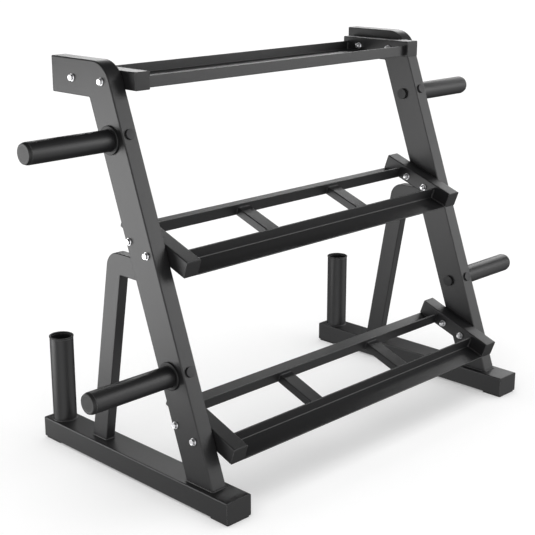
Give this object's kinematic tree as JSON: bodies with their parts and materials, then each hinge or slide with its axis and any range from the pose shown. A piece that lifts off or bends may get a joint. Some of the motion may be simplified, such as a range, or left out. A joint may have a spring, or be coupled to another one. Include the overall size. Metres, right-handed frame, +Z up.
{
  "type": "dumbbell rack",
  "caption": "Free-standing steel rack with tiered angle-rail shelves for dumbbells, horizontal pegs for weight plates and upright tube holders for barbells.",
  "frame": {"origin": "on the floor, at the centre of the rack's footprint", "axes": "+X along the shelves, +Y towards the back, +Z up"},
  "size_m": [1.482, 0.655, 0.94],
  "materials": {
    "frame_coat": "fine-textured matte black powder coat",
    "trim_plastic": "satin black moulded plastic",
    "pad_rubber": "matte black rubber",
    "plated_steel": "bright zinc and chrome plate",
    "black_fastener": "satin black oxide"
  },
  "bodies": {
    "root": {"foot_left": "frame_coat", "foot_right": "frame_coat", "foot_front_cap_left": "trim_plastic", "foot_front_cap_right": "trim_plastic", "foot_rear_cap_left": "trim_plastic", "foot_rear_cap_right": "trim_plastic", "foot_pads_left": "pad_rubber", "foot_pads_right": "pad_rubber", "upright_left": "frame_coat", "upright_right": "frame_coat", "upright_cap_left": "trim_plastic", "upright_cap_right": "trim_plastic", "rear_leg_left": "frame_coat", "rear_leg_right": "frame_coat", "bar_holder_left": "frame_coat", "bar_holder_right": "frame_coat", "bar_holder_rim_left": "trim_plastic", "bar_holder_rim_right": "trim_plastic", "upper_peg_left": "frame_coat", "upper_peg_right": "frame_coat", "lower_peg_left": "frame_coat", "lower_peg_right": "frame_coat", "upper_peg_collar_left": "trim_plastic", "upper_peg_collar_right": "trim_plastic", "lower_peg_collar_left": "trim_plastic", "lower_peg_collar_right": "trim_plastic", "upper_peg_cap_left": "trim_plastic", "upper_peg_cap_right": "trim_plastic", "lower_peg_cap_left": "trim_plastic", "lower_peg_cap_right": "trim_plastic", "peg_spigots": "plated_steel", "peg_inner_caps": "trim_plastic", "cross_bolts": "black_fastener", "cross_nuts": "black_fastener", "top_bracket_left": "frame_coat", "top_bracket_right": "frame_coat", "top_front_rail": "frame_coat", "top_back_rail": "frame_coat", "top_bracket_caps": "trim_plastic", "middle_bracket_left": "frame_coat", "middle_bracket_right": "frame_coat", "middle_front_rail": "frame_coat", "middle_back_rail": "frame_coat", "middle_slat_left": "frame_coat", "middle_slat_right": "frame_coat", "middle_bracket_caps": "trim_plastic", "bottom_bracket_left": "frame_coat", "bottom_bracket_right": "frame_coat", "bottom_front_rail": "frame_coat", "bottom_back_rail": "frame_coat", "bottom_slat_left": "frame_coat", "bottom_slat_right": "frame_coat", "bottom_bracket_caps": "trim_plastic", "shelf_bolts": "plated_steel", "shelf_washers": "plated_steel", "shelf_nuts": "plated_steel"}
  },
  "joints": []
}
